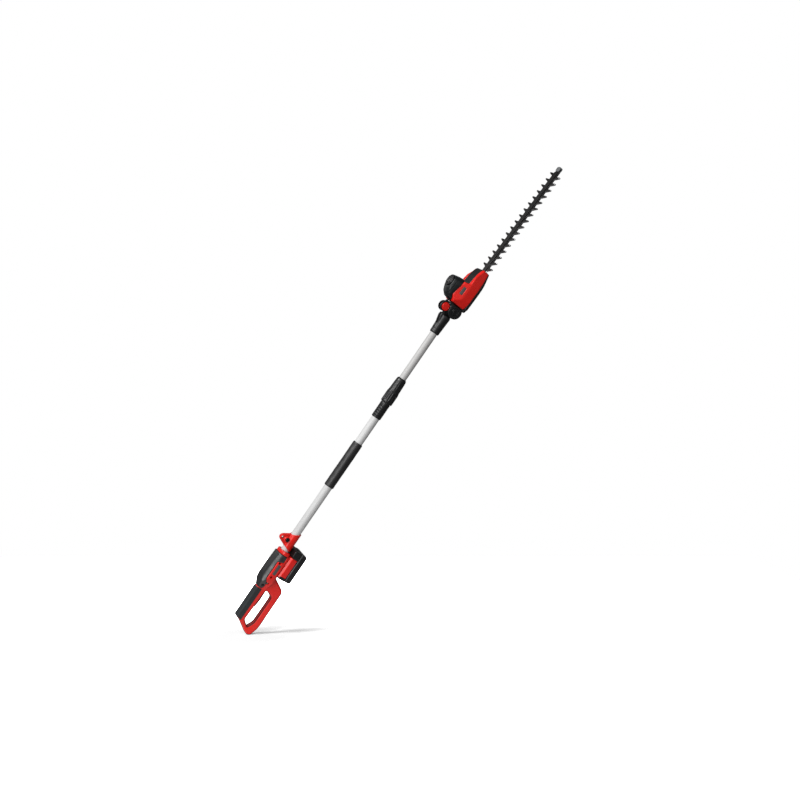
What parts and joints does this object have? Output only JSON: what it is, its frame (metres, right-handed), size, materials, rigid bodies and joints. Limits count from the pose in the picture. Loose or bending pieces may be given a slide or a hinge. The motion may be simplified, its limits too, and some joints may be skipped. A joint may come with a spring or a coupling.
{
  "type": "pole hedge trimmer",
  "caption": "Long-reach battery hedge trimmer: D-shaped rear handle with slide-on battery, telescopic pole and a tilting motor head with a toothed double blade.",
  "frame": {"origin": "middle of the rear grip, on the axis of the pole", "axes": "+Z along the pole from the rear handle to the blade tip; +X towards the underside, where the battery hangs; +Y towards the user's right, so the red lock button is on -Y"},
  "size_m": [0.1432, 0.079, 1.8626],
  "materials": {
    "red_shell": "satin moulded red plastic",
    "dark_red": "satin moulded dark red plastic",
    "black_shell": "fine textured black plastic",
    "soft_grip": "matt ribbed soft grip",
    "grey_plate": "blank grey plate",
    "tube_metal": "satin anodised",
    "steel": "plain",
    "blade_steel": "blackened, edges ground",
    "board": "circuit board",
    "cable": "cable jacket",
    "tip_grey": "light grey plastic",
    "cell_wrap": "wrapped battery cells"
  },
  "bodies": {
    "root": {"handle_shell_left": "red_shell", "handle_shell_right": "red_shell", "grip_overmould": "soft_grip", "top_cover": "black_shell", "front_collar": "red_shell", "trigger_spring": "steel", "switch_module": "black_shell", "control_board": "board", "battery_contacts": "black_shell", "side_badge_left": "grey_plate", "side_badge_right": "grey_plate", "handle_screw_1": "steel", "handle_screw_2": "steel", "strap_clamp_left": "red_shell", "strap_clamp_right": "red_shell", "strap_screw": "steel", "strap_nut": "steel", "lower_tube": "tube_metal", "foam_sleeve": "soft_grip", "clamp_body": "black_shell", "clamp_collet": "grey_plate", "coiled_cable": "cable"},
    "trigger": {"trigger": "dark_red"},
    "lock_off": {"lock_off_button": "black_shell"},
    "battery": {"battery_upper_case": "red_shell", "battery_lower_case": "black_shell", "battery_front_cap": "black_shell", "battery_cells": "cell_wrap"},
    "battery_latch": {"battery_latch": "soft_grip"},
    "clamp_nut": {"clamp_nut": "black_shell"},
    "boom": {"upper_tube": "tube_metal", "guide_bush": "grey_plate", "head_cable": "cable", "adapter_left": "black_shell", "adapter_right": "black_shell", "tilt_quadrant": "steel"},
    "head": {"hinge_cheek_left": "black_shell", "hinge_cheek_right": "black_shell", "pivot_bolt": "steel", "pivot_nut": "steel", "lock_spring": "steel", "head_shell_left": "red_shell", "head_shell_right": "red_shell", "front_cover": "black_shell", "motor_hood": "black_shell", "vent_cap": "black_shell", "bottom_cover": "black_shell", "head_badge_left": "grey_plate", "head_badge_right": "grey_plate", "motor_can": "steel", "blade_guide": "blade_steel", "blade_bolt_1": "steel", "blade_bolt_2": "steel", "blade_bolt_3": "steel", "tip_guard": "tip_grey"},
    "lock_button": {"lock_button": "red_shell"},
    "upper_blade": {"blade_upper": "blade_steel"},
    "lower_blade": {"blade_lower": "blade_steel"},
    "crank": {"crank_gear": "steel"},
    "rotor": {"motor_pinion": "steel"}
  },
  "joints": [
    {"name": "trigger_pull", "type": "hinge", "parent": "root", "child": "trigger", "pos_m": [0.014, 0, 0.062], "axis": [0, 1, 0], "range_deg": [0, 6], "stiffness_Nm_per_rad": 1.2, "springref_deg": -6.88, "deforming": ["trigger_spring"]},
    {"name": "lock_off_press", "type": "slide", "parent": "root", "child": "lock_off", "axis": [0, 1, 0], "range_m": [0, 0.003], "stiffness_N_per_m": 400, "springref_m": -0.001},
    {"name": "battery_slide", "type": "slide", "parent": "root", "child": "battery", "axis": [0, 0, 1], "range_m": [0, 0.105]},
    {"name": "latch_press", "type": "slide", "parent": "battery", "child": "battery_latch", "axis": [0, 0, -1], "range_m": [0, 0.003], "stiffness_N_per_m": 500, "springref_m": -0.001},
    {"name": "clamp_twist", "type": "hinge", "parent": "root", "child": "clamp_nut", "pos_m": [0, 0, 0.84], "axis": [0, 0, 1], "range_deg": [0, 90]},
    {"name": "telescope", "type": "slide", "parent": "root", "child": "boom", "axis": [0, 0, 1], "range_m": [-0.16, 0.28], "deforming": ["coiled_cable"]},
    {"name": "head_tilt", "type": "hinge", "parent": "boom", "child": "head", "pos_m": [0.0096, 0, 1.168], "axis": [0, 1, 0], "range_deg": [0, 90]},
    {"name": "lock_press", "type": "slide", "parent": "head", "child": "lock_button", "axis": [0, 1, 0], "range_m": [0, 0.0028], "stiffness_N_per_m": 600, "springref_m": -0.001, "deforming": ["lock_spring"]},
    {"name": "upper_blade_slide", "type": "slide", "parent": "head", "child": "upper_blade", "axis": [0.0384, 0, 0.9993], "range_m": [-0.00625, 0.00625]},
    {"name": "lower_blade_slide", "type": "slide", "parent": "head", "child": "lower_blade", "axis": [0.0384, 0, 0.9993], "range_m": [-0.00625, 0.00625]},
    {"name": "rotor_spin", "type": "hinge", "parent": "head", "child": "rotor", "pos_m": [0.01248, 0, 1.24294], "axis": [-0.9993, 0, 0.0384], "continuous": true},
    {"name": "crank_spin", "type": "hinge", "parent": "head", "child": "crank", "pos_m": [0.01378, 0, 1.27692], "axis": [-0.9993, 0, 0.0384], "continuous": true}
  ],
  "couplings": [
    {"joint": "lower_blade_slide", "follows": "upper_blade_slide", "ratio": -1},
    {"joint": "rotor_spin", "follows": "crank_spin", "ratio": -6.3333}
  ]
}
